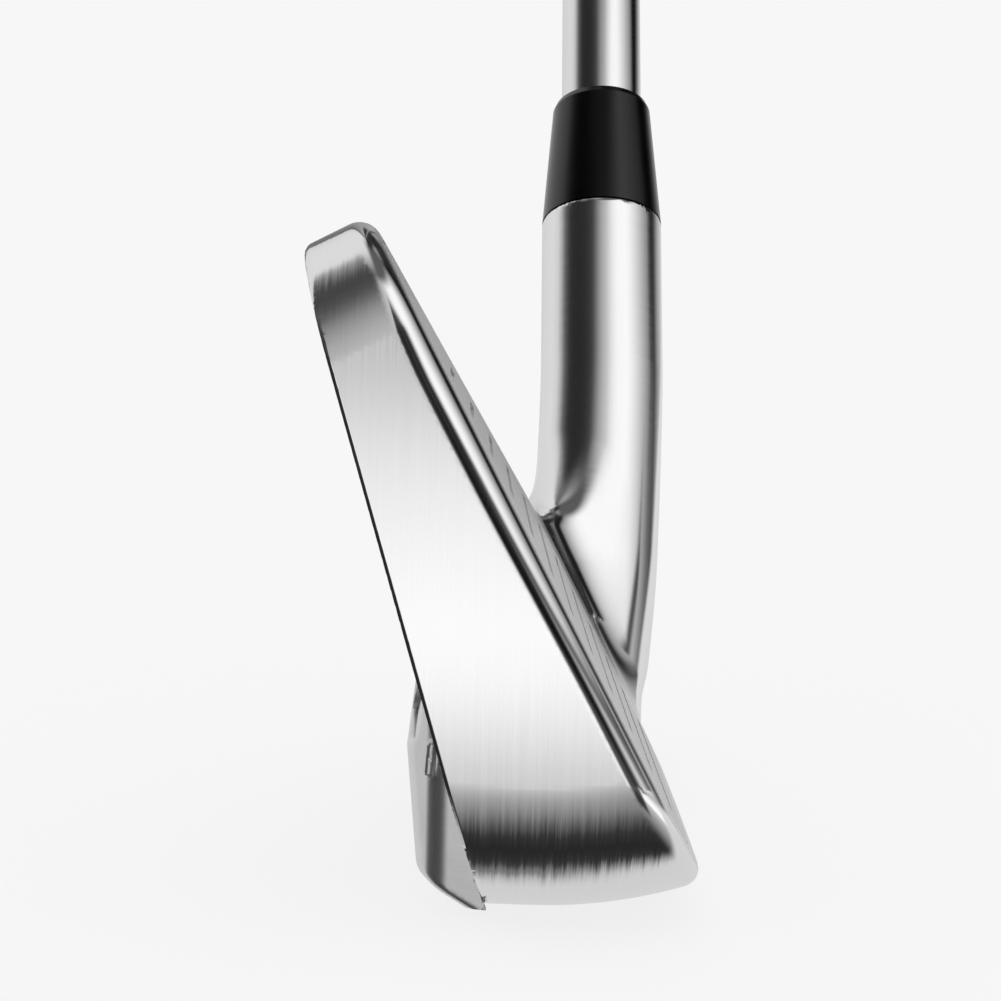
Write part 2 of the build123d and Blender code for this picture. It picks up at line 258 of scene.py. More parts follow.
# back of the head, seen from the toe, as (x, z): ledge, muscle, trailing edge
MUSCLE = [(2.0, 24.6), (-8.4, 23.6), (-10.2, 13.2), (-9.2, 3.4), (-3.9, 0.3), (2.0, 0.3)]
MUSCLE_ROUND = [0.8, 1.6, 1.2, 0.6]
# plan of its two ends, as (x, y), with the rounding of each end's bend and of the edge round it
MUSCLE_TOE = [(-10.6, -22.4), (-7.9, -27.6), (2.0, -28.6)]
MUSCLE_TOE_BEND = 2.5
MUSCLE_TOE_EDGE = 0.7
MUSCLE_HEEL = [(2.0, 28.5), (-2.0, 27.0), (-10.6, 18.0)]
MUSCLE_HEEL_BEND = 1.5
MUSCLE_HEEL_EDGE = 1.5
MUSCLE_GAP = 0.15           # between the muscle and the head
SOLE_STEP = 0.02            # the muscle stays this far above the sole
PANEL_MARGIN = 0.9          # rim round the inset panel
PANEL_Y = (-25.4, 21.0)
PANEL_DEPTH = 0.55
PANEL_CORNER = 2.0
PANEL_LIP = 0.25            # radius of the rim's inner edge
RIB = ((-8.3, -27.3, 12.0), (-8.1, -27.3, 14.2), 0.42)      # small rib at the panel's toe end
RIB_FILLET = 0.3


def facets(a, b, points):
    """Signed distance to each side of an open outline, with the solid on its left."""
    fields, normals = [], []
    for (a0, b0), (a1, b1) in zip(points, points[1:]):
        run = np.array([a1 - a0, b1 - b0]) / np.hypot(a1 - a0, b1 - b0)
        normal = np.array([run[1], -run[0]])
        fields.append((a - a0) * normal[0] + (b - b0) * normal[1])
        normals.append(normal)
    return fields, normals


def rounded_chain(fields, normals, rounds):
    """The solid under all the facets, each edge with its own rounding."""
    shape = fields[0]
    for index, radius in enumerate(rounds):
        cosine = float(normals[index] @ normals[index + 1])
        shape = corner(shape, fields[index + 1], radius, cosine)
    return shape


def capsule(p, start, end, radius):
    """Round-ended rod."""
    start, end = np.array(start), np.array(end)
    span = end - start
    share = np.clip((p - start) @ span / (span @ span), 0, 1)
    return np.linalg.norm(p - start - share[:, None] * span, axis=1) - radius


def muscle_solid(p):
    """Muscle with its inset panel and rib, clear of the head."""
    x, y, z = p.T
    depth, v = face_frame(p)
    fields, normals = facets(x, z, MUSCLE)
    slope = fields[1]
    (x1, z1), (x2, z2) = MUSCLE[1:3]
    slope_length = np.hypot(x2 - x1, z2 - z1)
    run = np.array([x2 - x1, z2 - z1]) / slope_length
    down = (x - x1) * run[0] + (z - z1) * run[1]
    shape = rounded_chain(fields, normals, MUSCLE_ROUND)
    toe_end = rounded_chain(*facets(x, y, MUSCLE_TOE), [MUSCLE_TOE_BEND])
    shape = corner(shape, toe_end, MUSCLE_TOE_EDGE)
    heel_end = rounded_chain(*facets(x, y, MUSCLE_HEEL), [MUSCLE_HEEL_BEND])
    shape = corner(shape, heel_end, MUSCLE_HEEL_EDGE)

    panel = np.maximum(PANEL_MARGIN - down, down - slope_length + PANEL_MARGIN)
    ends = np.maximum(PANEL_Y[0] - y, y - PANEL_Y[1])
    panel = corner(panel, ends, PANEL_CORNER)
    shape = corner(shape, -np.maximum(panel, -slope - PANEL_DEPTH), PANEL_LIP)

    shape = fillet(shape, capsule(p, *RIB), RIB_FILLET)
    shape = np.maximum(shape, sole_surface(x, y, z) + SOLE_STEP)
    shape = np.maximum(shape, -back_plane(y, v, depth))
    return np.maximum(shape, MUSCLE_GAP - head_solid(p))


# ---- dual contouring ---------------------------------------------------------------------------
CLOSING_STEPS = 4           # how often each crossing of the surface is closed in on
MEAN_PULL = 0.03            # pull of a cell's point towards the mean of its crossings
SETTLE_LIMIT = 0.3          # furthest that the point then moves onto the surface, in cells
SHARP_ANGLE = 24.0          # a corner's normal this far off the face's is taken nearer the middle
STRAY_ANGLE = 40.0          # and if it is still this far off, the face's own is used
PULL_IN = 0.65              # how much nearer the middle


def gradient(solid, points, step=0.01):
    """Outward normal of the solid's surface at some points."""
    slopes = []
    for axis in range(3):
        shift = np.zeros(3)
        shift[axis] = step
        slopes.append(solid(points + shift) - solid(points - shift))
    slopes = np.stack(slopes, 1)
    return slopes / np.maximum(np.linalg.norm(slopes, axis=1, keepdims=True), 1e-9)


def contour(solid, axes):
    """Points and quads of a solid's surface on a grid of three axes, with its edges kept sharp."""
    count = [len(axis) for axis in axes]
    value = np.empty(count)
    y, z = np.meshgrid(axes[1], axes[2], indexing="ij")
    for index, x in enumerate(axes[0]):
        layer = np.stack([np.full(y.size, x), y.ravel(), z.ravel()], 1)
        value[index] = solid(layer).reshape(y.shape)
    inside = value < 0

    def place_of(index):
        return np.stack([axes[i][index[:, i]] for i in range(3)], 1)

    points, quads = [], []
    for axis in range(3):
        before = [slice(None)] * 3
        after = [slice(None)] * 3
        before[axis] = slice(None, -1)
        after[axis] = slice(1, None)
        at = np.argwhere(inside[tuple(before)] != inside[tuple(after)])
        unit, side, other = (np.eye(3, dtype=int)[(axis + turn) % 3] for turn in range(3))
        near, far = value[tuple(at.T)], value[tuple((at + unit).T)]
        start, end = place_of(at), place_of(at + unit)
        # close in on the surface between the two grid points
        for _ in range(CLOSING_STEPS):
            share = near / (near - far)
            middle = start + share[:, None] * (end - start)
            here = solid(middle)
            same = (here < 0) == (near < 0)
            start = np.where(same[:, None], middle, start)
            near = np.where(same, here, near)
            end = np.where(same[:, None], end, middle)
            far = np.where(same, far, here)
        share = near / (near - far)
        points.append(start + share[:, None] * (end - start))
        around = np.stack([at, at - side, at - side - other, at - other], 1)
        flat = around @ np.array([count[1] * count[2], count[2], 1])
        inward = ~inside[tuple(at.T)]
        flat[inward] = flat[inward][:, ::-1]
        quads.append(flat)
    points = np.concatenate(points)
    used, quads = np.unique(np.concatenate(quads), return_inverse=True)
    quads = quads.reshape(-1, 4)

    # each cell's point lies where the tangent planes of its crossings meet
    owner = quads.ravel()
    normals = np.repeat(gradient(solid, points), 4, axis=0)
    points = np.repeat(points, 4, axis=0)
    hits = np.bincount(owner)
    mean = np.stack([np.bincount(owner, points[:, i]) for i in range(3)], 1) / hits[:, None]
    offset = np.sum(normals * (points - mean[owner]), axis=1)
    matrix = np.empty((len(used), 3, 3))
    right = np.empty((len(used), 3))
    for i in range(3):
        right[:, i] = np.bincount(owner, normals[:, i] * offset)
        for j in range(3):
            matrix[:, i, j] = np.bincount(owner, normals[:, i] * normals[:, j])
    matrix += MEAN_PULL * hits[:, None, None] * np.eye(3)
    place = mean + np.linalg.solve(matrix, right[:, :, None])[:, :, 0]
    cells = np.stack(np.unravel_index(used, count), 1)
    low, high = place_of(cells), place_of(cells + 1)
    place = np.clip(place, low, high)
    limit = SETTLE_LIMIT * (high - low).min(axis=1)
    normal = gradient(solid, place)
    place -= np.clip(solid(place), -limit, limit)[:, None] * normal
    return place, quads


def corner_normals(solid, place, quads):
    """A normal for each corner of each quad: the surface's own, taken on this side of a sharp edge."""
    at_point = gradient(solid, place)
    centre = place[quads].mean(axis=1)
    diagonal_1 = place[quads[:, 2]] - place[quads[:, 0]]
    diagonal_2 = place[quads[:, 3]] - place[quads[:, 1]]
    flat = np.cross(diagonal_1, diagonal_2)
    flat /= np.maximum(np.linalg.norm(flat, axis=1, keepdims=True), 1e-12)
    normals = at_point[quads]
    sharp = np.einsum("qci,qi->qc", normals, flat) < cos(radians(SHARP_ANGLE))
    pulled = place[quads] * (1 - PULL_IN) + centre[:, None] * PULL_IN
    normals[sharp] = gradient(solid, pulled[sharp])
    still = np.einsum("qci,qi->qc", normals, flat) < cos(radians(STRAY_ANGLE))
    normals[still] = np.repeat(flat[:, None], 4, axis=1)[still]
    return normals


def solid_piece(name, solid, axes, material):
    """Mesh object of a solid, with one material."""
    place, quads = contour(solid, axes)
    mesh = bpy.data.meshes.new(name)
    mesh.from_pydata((place * MM).tolist(), [], quads.tolist())
    mesh.polygons.foreach_set("use_smooth", [True] * len(quads))
    mesh.normals_split_custom_set(corner_normals(solid, place, quads).reshape(-1, 3).tolist())
    mesh.materials.append(material)
    piece = bpy.data.objects.new(name, mesh)
    bpy.context.collection.objects.link(piece)
    return piece


# ---- node helpers ------------------------------------------------------------------------------
def node(tree, kind, inputs=(), output=0, **settings):
    """Add a node, set its properties, feed its inputs, and return one of its outputs."""
    made = tree.nodes.new(kind)
    for key, value in settings.items():
        setattr(made, key, value)
    for key, value in dict(inputs).items():
        if isinstance(value, bpy.types.NodeSocket):
            tree.links.new(value, made.inputs[key])
        else:
            made.inputs[key].default_value = value
    return made.outputs[output] if made.outputs else None


def maths(tree, operation, *values):
    return node(tree, "ShaderNodeMath", dict(enumerate(values)), operation=operation)


def product(tree, first, *others):
    for other in others:
        first = maths(tree, "MULTIPLY", first, other)
    return first


def swing(tree, pattern, amount):
    """A pattern that runs from 0 to 1, made to swing about 0 over an amount."""
    return product(tree, maths(tree, "SUBTRACT", pattern, 0.5), amount)


def mix(tree, share, first, second):
    """first where share is 0, second where it is 1."""
    return node(tree, "ShaderNodeMix", {0: share, 2: first, 3: second})


def grey(tree, tone):
    return node(tree, "ShaderNodeCombineColor", {"Red": tone, "Green": tone, "Blue": tone})


def vector_maths(tree, operation, *values, output=0):
    return node(tree, "ShaderNodeVectorMath", dict(enumerate(values)), output, operation=operation)


def fade(tree, value, low, high, start=0.0, end=1.0):
    """start below low, end above high, smooth between them."""
    inputs = {"Value": value, "From Min": low, "From Max": high, "To Min": start, "To Max": end}
    return node(tree, "ShaderNodeMapRange", inputs, interpolation_type="SMOOTHSTEP")


def fade_line(tree, value, low, high):
    """0 at low, 1 at high, in a straight line."""
    return node(tree, "ShaderNodeMapRange", {"Value": value, "From Min": low, "From Max": high})


def colour_ramp(tree, value, stops):
    """Grey levels given as (place, level) stops, with straight lines between them."""
    made = tree.nodes.new("ShaderNodeValToRGB")
    tree.links.new(value, made.inputs[0])
    ramp_points = made.color_ramp
    ramp_points.interpolation = "LINEAR"
    while len(ramp_points.elements) < len(stops):
        ramp_points.elements.new(1.0)
    for element, (position, level) in zip(ramp_points.elements, stops):
        element.position = position
        element.color = (level, level, level, 1)
    return made.outputs[0]


def new_material(name):
    material = bpy.data.materials.new(name)
    material.use_nodes = True
    tree = material.node_tree
    tree.nodes.clear()
    return material, tree


def principled(tree, inputs):
    shader = node(tree, "ShaderNodeBsdfPrincipled", inputs)
    node(tree, "ShaderNodeOutputMaterial", {"Surface": shader})


def position(tree):
    """Place on the object in millimetres."""
    place = node(tree, "ShaderNodeTexCoord", output="Object")
    return node(tree, "ShaderNodeVectorMath", {0: place, "Scale": 1 / MM}, operation="SCALE")


def dot(tree, vector, direction, origin=(0, 0, 0)):
    """How far a point lies from an origin along a direction."""
    reach_out = vector_maths(tree, "DOT_PRODUCT", vector, tuple(direction), output="Value")
    return maths(tree, "SUBTRACT", reach_out, float(np.dot(direction, origin)))


def noise(tree, vector, scale, detail=2.0, roughness=0.5):
    inputs = {"Vector": vector, "Scale": scale, "Detail": detail, "Roughness": roughness}
    return node(tree, "ShaderNodeTexNoise", inputs)


def stretched(tree, vector, scales):
    return vector_maths(tree, "MULTIPLY", vector, scales)


def tilted_normal(tree, tilts):
    """The surface normal, tipped by (direction, amount) pairs."""
    normal = node(tree, "ShaderNodeNewGeometry", output="Normal")
    for direction, amount in tilts:
        push = node(tree, "ShaderNodeVectorMath", {0: tuple(direction), "Scale": amount}, operation="SCALE")
        normal = vector_maths(tree, "ADD", normal, push)
    return vector_maths(tree, "NORMALIZE", normal)


# ---- materials ---------------------------------------------------------------------------------
def brushed_pad(tree, place, height, toe_pad):
    """Streaks of the brushed toe: tilts of the normal up and across, and a change of tone."""
    streaks = noise(tree, stretched(tree, place, (9.0, 0.35, 0.12)), 1.0, 3.0, 0.7)
    long_streaks = noise(tree, stretched(tree, place, (3.5, 0.2, 0.04)), 1.0, 2.0, 0.5)
    both = maths(tree, "SUBTRACT", maths(tree, "ADD", streaks, long_streaks), 1.0)
    low_down = fade(tree, height, 13, 10, 0.0, 1.7)
    high_up = fade(tree, height, 44, 49)
    strength = product(tree, maths(tree, "ADD", low_down, high_up), 0.09)
    strength = maths(tree, "ADD", 0.008, strength)
    lift = product(tree, both, strength, toe_pad)
    hair = noise(tree, stretched(tree, place, (16.0, 0.6, 0.12)), 1.0, 2.0, 0.5)
    sway = product(tree, swing(tree, hair, 0.03), toe_pad)
    tone = maths(tree, "ADD", 0.93, swing(tree, hair, 0.05))
    return lift, sway, tone


def eased_edge(tree, place, depth, height, facing):
    """Tilt towards the back along the pad's rear edge, which is eased too finely for the mesh."""
    up_face = dot(tree, place, FACE_UP, FACE_FOOT)
    behind = maths(tree, "MULTIPLY_ADD", up_face, BACK_SLOPE, depth)
    behind = maths(tree, "SUBTRACT", behind, TOP_THICK + BACK_SLOPE * CORNER_V)
    outer = fade(tree, behind, -0.32, -0.2, 0.0, 0.5)
    last = fade(tree, behind, -0.17, -0.09, 0.0, 1.6)
    toeward = fade(tree, dot(tree, facing, (0, -1, 0)), 0.85, 0.95)
    below_peak = fade(tree, height, 48.5, 45)
    return product(tree, maths(tree, "ADD", outer, last), toeward, below_peak)


def turned_rings(tree, place, along, hosel):
    """Fine turning marks round the hosel, as a tilt of the normal up the shaft."""
    rings_at = node(tree, "ShaderNodeCombineXYZ", {"X": maths(tree, "MULTIPLY", along, 3.0)})
    rings_at = vector_maths(tree, "ADD", rings_at, stretched(tree, place, (0.05, 0.05, 0.05)))
    rings = noise(tree, rings_at, 1.0, 3.0, 0.6)
    return product(tree, swing(tree, rings, 0.05), hosel)


def head_steel():
    """Polished steel, brushed on the toe, turned on the hosel, blasted on the face."""
    material, tree = new_material("head_steel")
    place = position(tree)
    depth = dot(tree, place, -FACE_NORMAL, FACE_FOOT)
    heelward = dot(tree, place, (0, 1, 0))
    height = dot(tree, place, (0, 0, 1))
    along = dot(tree, place, SHAFT_DIR, SHAFT_FOOT)
    facing = node(tree, "ShaderNodeNewGeometry", output="Normal")
    rearward = dot(tree, facing, -FACE_NORMAL)

    # where each finish is
    toe_pad = product(
        tree,
        fade(tree, depth, 1.4, 2.4),
        fade(tree, heelward, -22, -26),
        fade(tree, rearward, 0.75, 0.6),
    )
    hosel = fade(tree, along, 26, 32)
    blasted = fade(tree, maths(tree, "ABSOLUTE", depth), 0.25, 0.1)
    back = fade(tree, rearward, 0.7, 0.85)

    lift, sway, tone = brushed_pad(tree, place, height, toe_pad)
    ring_lift = turned_rings(tree, place, along, hosel)
    grit = product(tree, swing(tree, noise(tree, place, 7.0, 2.0, 0.6), 0.12), blasted)
    eased = eased_edge(tree, place, depth, height, facing)
    tilts = [
        ((0, 0, 1), lift),
        ((1, 0, 0), sway),
        (SHAFT_DIR, ring_lift),
        (FACE_UP, grit),
        (-FACE_NORMAL, eased),
    ]
    normal = tilted_normal(tree, tilts)

    smudge = noise(tree, place, 0.08, 3.0, 0.6)
    rough = maths(tree, "ADD", 0.10, product(tree, toe_pad, 0.02))
    rough = maths(tree, "ADD", rough, product(tree, maths(tree, "ADD", blasted, back), 0.26))
    rough = maths(tree, "ADD", rough, swing(tree, smudge, 0.04))
    inputs = {"Base Color": grey(tree, tone), "Metallic": 1.0, "Roughness": rough, "Normal": normal}
    principled(tree, inputs)
    return material


def satin_steel(name, level, roughness, scales):
    """Finely brushed satin steel; scales stretch its grain."""
    material, tree = new_material(name)
    place = position(tree)
    grain = noise(tree, stretched(tree, place, scales), 1.0, 4.0, 0.65)
    mottle = noise(tree, place, 0.25, 3.0, 0.5)
    tone = maths(tree, "ADD", level - 0.05, product(tree, grain, 0.10))
    colour = grey(tree, tone)
    rough = maths(tree, "ADD", roughness - 0.05, product(tree, mottle, 0.10))
    bump = node(tree, "ShaderNodeBump", {"Strength": 0.25, "Distance": 0.00002, "Height": grain})
    principled(tree, {"Base Color": colour, "Metallic": 1.0, "Roughness": rough, "Normal": bump})
    return material


def ferrule_plastic():
    """Glossy black plastic with faint turning marks."""
    material, tree = new_material("ferrule_plastic")
    place = position(tree)
    along = dot(tree, place, SHAFT_DIR, SHAFT_FOOT)
    turning = node(tree, "ShaderNodeCombineXYZ", {"X": maths(tree, "MULTIPLY", along, 4.0)})
    lines = noise(tree, turning, 1.0, 2.0, 0.5)
    haze = noise(tree, place, 0.3, 3.0, 0.5)
    rough = maths(tree, "ADD", 0.12, maths(tree, "MULTIPLY", haze, 0.10))
    tone = maths(tree, "ADD", 0.0003, maths(tree, "MULTIPLY", haze, 0.0004))
    colour = grey(tree, tone)
    bump = node(tree, "ShaderNodeBump", {"Strength": 0.15, "Distance": 0.00001, "Height": lines})
    principled(tree, {"Base Color": colour, "Roughness": rough, "Normal": bump, "IOR": 1.5})
    return material


def shaft_chrome():
    """Chrome with a faint ripple from polishing."""
    material, tree = new_material("shaft_chrome")
    place = position(tree)
    along = dot(tree, place, SHAFT_DIR, SHAFT_FOOT)
    drawn = noise(tree, stretched(tree, place, (6.0, 0.3, 0.15)), 1.0, 2.0, 0.5)
    haze = noise(tree, place, 0.05, 3.0, 0.5)
    rings = node(tree, "ShaderNodeCombineXYZ", {"X": maths(tree, "MULTIPLY", along, 2.5)})
    polish = noise(tree, rings, 1.0, 2.0, 0.5)
    ripple = swing(tree, polish, 0.01)
    normal = tilted_normal(tree, [(SHAFT_DIR, ripple)])
    rough = maths(tree, "ADD", 0.06, maths(tree, "MULTIPLY", haze, 0.05))
    tone = maths(tree, "ADD", 0.88, maths(tree, "MULTIPLY", drawn, 0.05))
    colour = grey(tree, tone)
    principled(tree, {"Base Color": colour, "Metallic": 1.0, "Roughness": rough, "Normal": normal})
    return material


def rubber(name, level):
    """Dark rubber or vinyl with fine pores."""
    material, tree = new_material(name)
    place = position(tree)
    pores = noise(tree, place, 3.0, 4.0, 0.7)
    bloom = noise(tree, place, 0.06, 3.0, 0.5)
    tone = maths(tree, "ADD", level, maths(tree, "MULTIPLY", bloom, level))
    colour = grey(tree, tone)
    rough = maths(tree, "ADD", 0.6, maths(tree, "MULTIPLY", pores, 0.2))
    bump = node(tree, "ShaderNodeBump", {"Strength": 0.4, "Distance": 0.0001, "Height": pores})
    principled(tree, {"Base Color": colour, "Roughness": rough, "Normal": bump})
    return material


# ---- studio: pale floor, and a world that the steel reflects -------------------------------------
# All as the polished steel sees the studio, in degrees.
# Azimuth is 0 on the toe side, 90 on the target side and 180 beyond the heel.
#
# WALLS, FAR_SIDE and TOE_SIDE were not designed. Most of their stops are brightness sampled from the
# reference photo, down the toe and across the hosel, made linear and divided by BACKDROP. Some of the
# TOE_SIDE angles are copied from a helper script's output. Both break this job's rule against photo
# data and other programs' tables in the script, so they are not an example to follow: see report.md.
# HORIZON, HIGH_REAR, CARDS and FLAG_HIDES were then adjusted against tones from the same photo.
BACKDROP = 0.93             # what the camera sees of the floor and the air
BRIGHTEST = 2.0             # no level in the tables is above this

# level of the walls, by azimuth
WALLS = [(-180, 0.62), (-150, 0.70), (-120, 0.74), (-108, 0.66), (-99, 0.44), (-91, 0.225), (-82, 0.09),
         (-74, 0.06), (-60, 0.05), (-45, 0.05), (-34, 0.07), (-26, 0.13), (-20, 0.24), (-14, 0.34),
         (-8, 0.44), (0, 0.52), (9, 0.60), (20, 0.77), (31, 0.92), (41, 1.0), (60, 1.02), (69, 0.93),
         (77, 0.80), (86, 0.64), (94, 0.48), (103, 0.32), (112, 0.16), (123, 0.07), (136, 0.34), (155, 0.62),
         (180, 0.62)]
# elevation up to which something dark stands in front of them, by azimuth
HORIZON = [(-180, -30), (3, -30), (9, 41), (14, 41), (25, 34), (40, 21), (50, 14), (60, 9), (80, 0),
           (110, -10), (180, -20)]
HORIZON_LOW = -30.0
HORIZON_SPAN = 100.0
SHADE = 0.045               # level of the dark thing
# level below eye height by elevation, beyond the heel and on the toe side
FAR_SIDE = [(-90, 0.17), (-84, 0.40), (-77, 0.58), (-71, 0.66), (-10, 0.68), (10, 0.80), (90, 1.0)]
TOE_SIDE = [(-90, 0.17), (-84, 0.05), (-78, 0.03), (-67, 0.02), (-55, 0.035), (-45, 0.12), (-35, 0.25),
            (-24, 0.38), (-14, 0.56), (-13, 0.74), (-12, 0.90), (-11, 1.04), (-10, 1.10), (-7.6, 1.06),
            (-5.9, 1.0), (-4.2, 0.94), (-2.5, 0.85), (-0.8, 0.69), (0.1, 0.62), (1, 0.53), (3, 0.52),
            (90, 0.52)]
HIGH_REAR = 0.75            # level high up behind the back of the head
OVERHEAD = 0.10             # level of the rest of the ceiling
# dark cards: azimuth from and to, elevation from and to, softness, darkness
CARDS = [
    (12, 40, -30, 12, 6, 0.92),         # low, on the toe side
    (112, 162, 14, 58, 7, 0.94),        # tall, past the target side
    (155, 190, 32, 70, 7, 0.94),        # high, beyond the heel
    (-112, -26, -48, 6, 8, 0.93),       # low, on the back's side
    (30, 97, 13, 19, 2.5, 0.9),         # a narrow bar on the target side
]
SKY_MIDDLE = 0.7            # plain sky that lights matt surfaces: its level at eye height
SKY_RISE = 0.45             # and how much brighter it is overhead


def by_angle(tree, angle, limit, stops, span=BRIGHTEST, lowest=0.0):
    """Look up a table by an angle from -limit to limit; its values lie within a span above lowest."""
    share = fade_line(tree, angle, -limit, limit)
    shares = [((at + limit) / (2 * limit), (value - lowest) / span) for at, value in stops]
    seen = node(tree, "ShaderNodeRGBToBW", {0: colour_ramp(tree, share, shares)})
    return maths(tree, "MULTIPLY_ADD", seen, span, lowest)


def above_eyes(tree, x, y, elevation, azimuth):
    """Walls, the dark thing in front of them, and the ceiling."""
    walls = by_angle(tree, azimuth, 180, WALLS)
    high_rear = product(tree, fade(tree, azimuth, -90, -108), fade(tree, elevation, 24, 52))
    walls = mix(tree, high_rear, walls, HIGH_REAR)
    horizon = by_angle(tree, azimuth, 180, HORIZON, HORIZON_SPAN, HORIZON_LOW)
    over_horizon = fade(tree, maths(tree, "SUBTRACT", elevation, horizon), -15, 13)
    above = mix(tree, over_horizon, SHADE, walls)
    over_back = product(tree, fade(tree, y, -0.5, 0.25), fade(tree, x, 0.05, -0.2))
    ceiling = mix(tree, over_back, OVERHEAD, HIGH_REAR)
    return mix(tree, fade(tree, elevation, 54, 70), above, ceiling)


def below_eyes(tree, y, elevation):
    """Floor and low walls, beyond the heel and on the toe side."""
    far_side = by_angle(tree, elevation, 90, FAR_SIDE)
    toe_side = by_angle(tree, elevation, 90, TOE_SIDE)
    return mix(tree, fade(tree, y, 0.15, -0.15), far_side, toe_side)


def card_mask(tree, elevation, azimuth, az_from, az_to, el_from, el_to, soft):
    return product(
        tree,
        fade(tree, azimuth, az_from - soft, az_from + soft),
        fade(tree, azimuth, az_to + soft, az_to - soft),
        fade(tree, elevation, el_from - soft, el_from + soft),
        fade(tree, elevation, el_to + soft, el_to - soft),
    )


def studio_world():
    """What polished steel reflects, a plain sky for matt surfaces, and the camera's backdrop."""
    world = bpy.data.worlds.new("studio")
    world.use_nodes = True
    tree = world.node_tree
    tree.nodes.clear()
    direction = node(tree, "ShaderNodeTexCoord", output="Generated")
    parts = tree.nodes.new("ShaderNodeSeparateXYZ")
    tree.links.new(direction, parts.inputs[0])
    x, y, z = parts.outputs
    elevation = product(tree, maths(tree, "ARCSINE", z), degrees(1))
    azimuth = product(tree, maths(tree, "ARCTAN2", x, product(tree, y, -1.0)), degrees(1))

    above = above_eyes(tree, x, y, elevation, azimuth)
    level = mix(tree, fade(tree, elevation, -0.5, 3.5), below_eyes(tree, y, elevation), above)
    for *edges, darkness in CARDS:
        mask = card_mask(tree, elevation, azimuth, *edges)
        level = product(tree, level, maths(tree, "SUBTRACT", 1.0, product(tree, mask, darkness)))

    soft_sky = maths(tree, "ADD", SKY_MIDDLE, product(tree, z, SKY_RISE))
    path = tree.nodes.new("ShaderNodeLightPath")
    shown = mix(tree, path.outputs["Is Glossy Ray"], soft_sky, level)
    shown = mix(tree, path.outputs["Is Camera Ray"], shown, BACKDROP)
    background = node(tree, "ShaderNodeBackground", {"Color": shown, "Strength": 1.0})
    node(tree, "ShaderNodeOutputWorld", {"Surface": background})
    bpy.context.scene.world = world


# a curved black flag beside the shaft; its angle is measured round the shaft from the toe side
FLAG_RADIUS = 60.0
FLAG_REACH = (34.0, 680.0)  # from and to, up the shaft
FLAG_ANGLES = (-100.0, 12.0)
FLAG_STEPS = 28
FLAG_BLACK = 0.01
# how much of the studio it hides, by angle
FLAG_HIDES = [(-100, 0.0), (-90, 0.0), (-82, 0.12), (-74, 0.5), (-65, 0.70), (-57, 0.8), (-46, 0.82),
              (-36, 0.76), (-25, 0.50), (-14, 0.30), (-3, 0.15), (5, 0.06), (12, 0.0)]


def flag_cloth():
    """Black cloth that hides more or less with the angle stored on the flag, as a share of its span."""
    material, tree = new_material("flag_cloth")
    angle = node(tree, "ShaderNodeAttribute", output="Fac", attribute_name="angle")
    first, last = FLAG_ANGLES
    stops = [((at - first) / (last - first), hides) for at, hides in FLAG_HIDES]
    hides = node(tree, "ShaderNodeRGBToBW", {0: colour_ramp(tree, angle, stops)})
    clear = node(tree, "ShaderNodeBsdfTransparent")
    black = node(tree, "ShaderNodeEmission", {"Color": (FLAG_BLACK, FLAG_BLACK, FLAG_BLACK, 1)})
    both = node(tree, "ShaderNodeMixShader", {0: hides, 1: clear, 2: black})
    node(tree, "ShaderNodeOutputMaterial", {"Surface": both})
    return material


def stage_object(name, mesh):
    """Object for the studio: linked into the scene, not attached to any of the club's bodies."""
    piece = bpy.data.objects.new(name, mesh)
    bpy.context.collection.objects.link(piece)
    return piece


def shaft_flag():
    """The flag, seen only in polished surfaces."""
    first, last = FLAG_ANGLES
    points, shares = [], []
    for along in FLAG_REACH:
        for step in range(FLAG_STEPS + 1):
            share = step / FLAG_STEPS
            angle = radians(first + share * (last - first))
            out = sin(angle) * np.array([1.0, 0, 0]) - cos(angle) * ACROSS
            points.append((SHAFT_FOOT + SHAFT_DIR * along + FLAG_RADIUS * out) * MM)
            shares.append(share)
    row = FLAG_STEPS + 1
    faces = [(i, i + 1, row + i + 1, row + i) for i in range(FLAG_STEPS)]
    mesh = bpy.data.meshes.new("shaft_flag")
    mesh.from_pydata([tuple(point) for point in points], [], faces)
    mesh.attributes.new("angle", "FLOAT", "POINT").data.foreach_set("value", shares)
    mesh.materials.append(flag_cloth())
    piece = stage_object("shaft_flag", mesh)
    piece.visible_camera = False
    piece.visible_diffuse = False
    piece.visible_shadow = False


FLOOR_REACH = 40.0          # metres each way
FLOOR_SHADOW = 0.12         # how much of its shading the floor shows


def floor():
    """Pale paper floor that takes a faint shadow and stays out of reflections."""
    material, tree = new_material("floor_paper")
    glow = node(tree, "ShaderNodeEmission", {"Color": (BACKDROP, BACKDROP, BACKDROP, 1)})
    matt = node(tree, "ShaderNodeBsdfDiffuse", {"Color": (BACKDROP, BACKDROP, BACKDROP, 1)})
    both = node(tree, "ShaderNodeMixShader", {0: FLOOR_SHADOW, 1: glow, 2: matt})
    node(tree, "ShaderNodeOutputMaterial", {"Surface": both})
    mesh = bpy.data.meshes.new("floor")
    corners = [(-1, -1), (1, -1), (1, 1), (-1, 1)]
    mesh.from_pydata([(x * FLOOR_REACH, y * FLOOR_REACH, 0) for x, y in corners], [], [(0, 1, 2, 3)])
    mesh.materials.append(material)
    piece = stage_object("floor", mesh)
    piece.visible_glossy = False


# ---- camera ------------------------------------------------------------------------------------
CAMERA_AT = (-5.78, -220.15, 52.06)
CAMERA_TURN = 0.816         # degrees towards +X from looking along +Y
CAMERA_DIP = 5.36           # degrees below level
CAMERA_ROLL = 1.275
LENS = 87.97
SENSOR = 36.0
NEAREST = 0.01              # metres
FURTHEST = 200.0


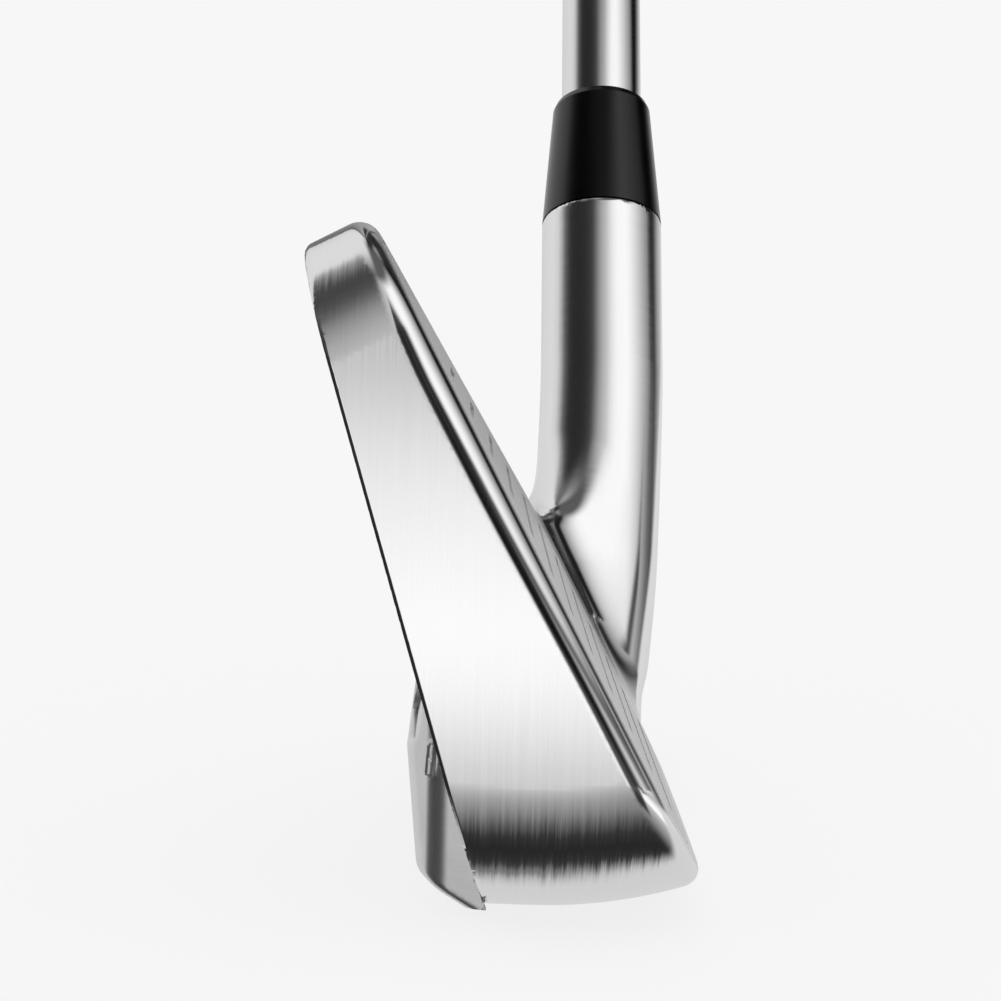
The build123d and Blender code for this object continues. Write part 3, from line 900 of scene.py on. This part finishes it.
def camera():
    """Long lens looking from the toe, almost level."""
    turn, dip, roll = radians(CAMERA_TURN), radians(CAMERA_DIP), radians(CAMERA_ROLL)
    forward = Vector((sin(turn) * cos(dip), cos(turn) * cos(dip), -sin(dip)))
    level_right = Vector((cos(turn), -sin(turn), 0))
    level_up = level_right.cross(forward)
    right = level_right * cos(roll) + level_up * sin(roll)
    up = level_up * cos(roll) - level_right * sin(roll)
    lens = bpy.data.cameras.new("camera")
    lens.lens = LENS
    lens.sensor_width = SENSOR
    lens.clip_start = NEAREST
    lens.clip_end = FURTHEST
    view = bpy.data.objects.new("camera", lens)
    bpy.context.collection.objects.link(view)
    turned = Matrix((right, up, -forward)).transposed()
    view.matrix_world = Matrix.Translation(Vector(CAMERA_AT) * MM) @ turned.to_4x4()
    bpy.context.scene.camera = view


# ---- the club ----------------------------------------------------------------------------------
COARSE = 1.0
HEAD_CELLS = np.array([0.36, 0.48, 0.40]) * COARSE
TOE_CELL = 0.22 * COARSE        # toe to heel, in the first few millimetres
TOE_FINE = (-1.0, 4.0)          # where those are, from the toe
MUSCLE_CELLS = np.array([0.30, 0.42, 0.30]) * COARSE
HEAD_ROOM = 1.3                 # empty margin of the grid
MUSCLE_ROOM = 4.0


def grid_over(node_name, cells, room):
    """Grid lines on the three axes, over a CAD node and a margin round it."""
    low, high = (np.array(point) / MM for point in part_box(node_name))
    return [np.arange(low[i] - room, high[i] + room + cells[i], cells[i]) for i in range(3)]


def head_piece():
    axes = grid_over("head_body", HEAD_CELLS, HEAD_ROOM)
    toe_lines = np.arange(TOE_Y + TOE_FINE[0], TOE_Y + TOE_FINE[1], TOE_CELL)
    axes[1] = np.concatenate([toe_lines, axes[1][axes[1] > toe_lines[-1] + 0.1]])
    head = solid_piece("head", head_solid, axes, head_steel())
    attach(head, "root")
    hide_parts("head_body")


def muscle_piece():
    axes = grid_over("muscle_plate", MUSCLE_CELLS, MUSCLE_ROOM)
    steel = satin_steel("muscle_steel", 0.84, 0.34, (0.4, 4.0, 4.0))
    muscle = solid_piece("muscle_shell", muscle_solid, axes, steel)
    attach(muscle, "root")
    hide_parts("muscle_plate", "plate_adhesive")


def refinish(name, material):
    """Give a CAD node that stays in view its finished material."""
    for slot in frame["nodes"][name].material_slots:
        slot.material = material


camera()
studio_world()
floor()
shaft_flag()
head_piece()
muscle_piece()
refinish("face_plate", satin_steel("face_steel", 0.80, 0.38, (5.0, 5.0, 5.0)))
refinish("back_badge", satin_steel("badge_metal", 0.60, 0.45, (2.0, 6.0, 2.0)))
refinish("ferrule", ferrule_plastic())
refinish("shaft", shaft_chrome())
refinish("grip", rubber("grip_rubber", 0.02))
refinish("grip_cap", rubber("cap_rubber", 0.016))
refinish("shaft_band", rubber("band_vinyl", 0.03))

settings = bpy.context.scene.view_settings
settings.view_transform = "Standard"
settings.look = "None"
